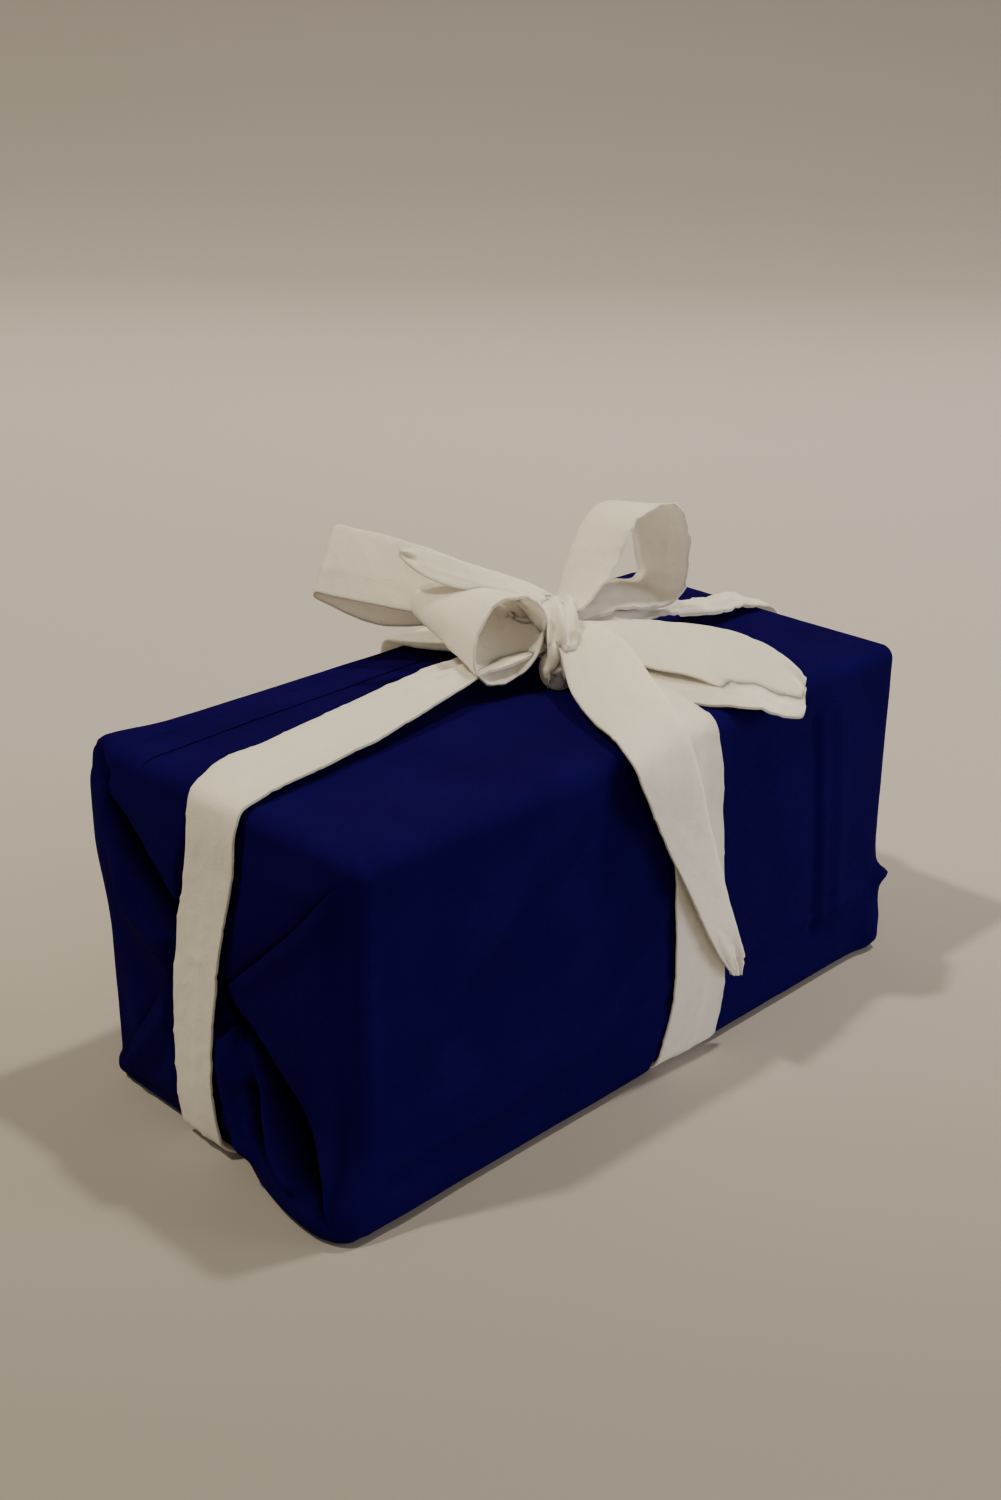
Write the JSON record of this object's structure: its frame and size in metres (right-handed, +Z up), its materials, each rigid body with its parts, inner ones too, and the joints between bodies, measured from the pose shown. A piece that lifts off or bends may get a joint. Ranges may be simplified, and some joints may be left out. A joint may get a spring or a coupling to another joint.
{
  "type": "furoshiki wrap",
  "caption": "Box-shaped parcel wrapped in smooth navy cotton cloth with folded-in ends, tied with a white cotton tape in a looped bow on top.",
  "frame": {"origin": "middle of the parcel's underside, at the level of the surface that it stands on", "axes": "+X along the parcel towards its right end, +Y towards its back, +Z up through the knot"},
  "size_m": [0.254, 0.139, 0.1648],
  "materials": {
    "navy_cotton": "matt plain-weave cotton, very dark navy",
    "white_cotton": "matt soft cotton, off-white"
  },
  "bodies": {
    "root": {"wrap_cloth": "navy_cotton", "tie_tape": "white_cotton"}
  },
  "joints": []
}
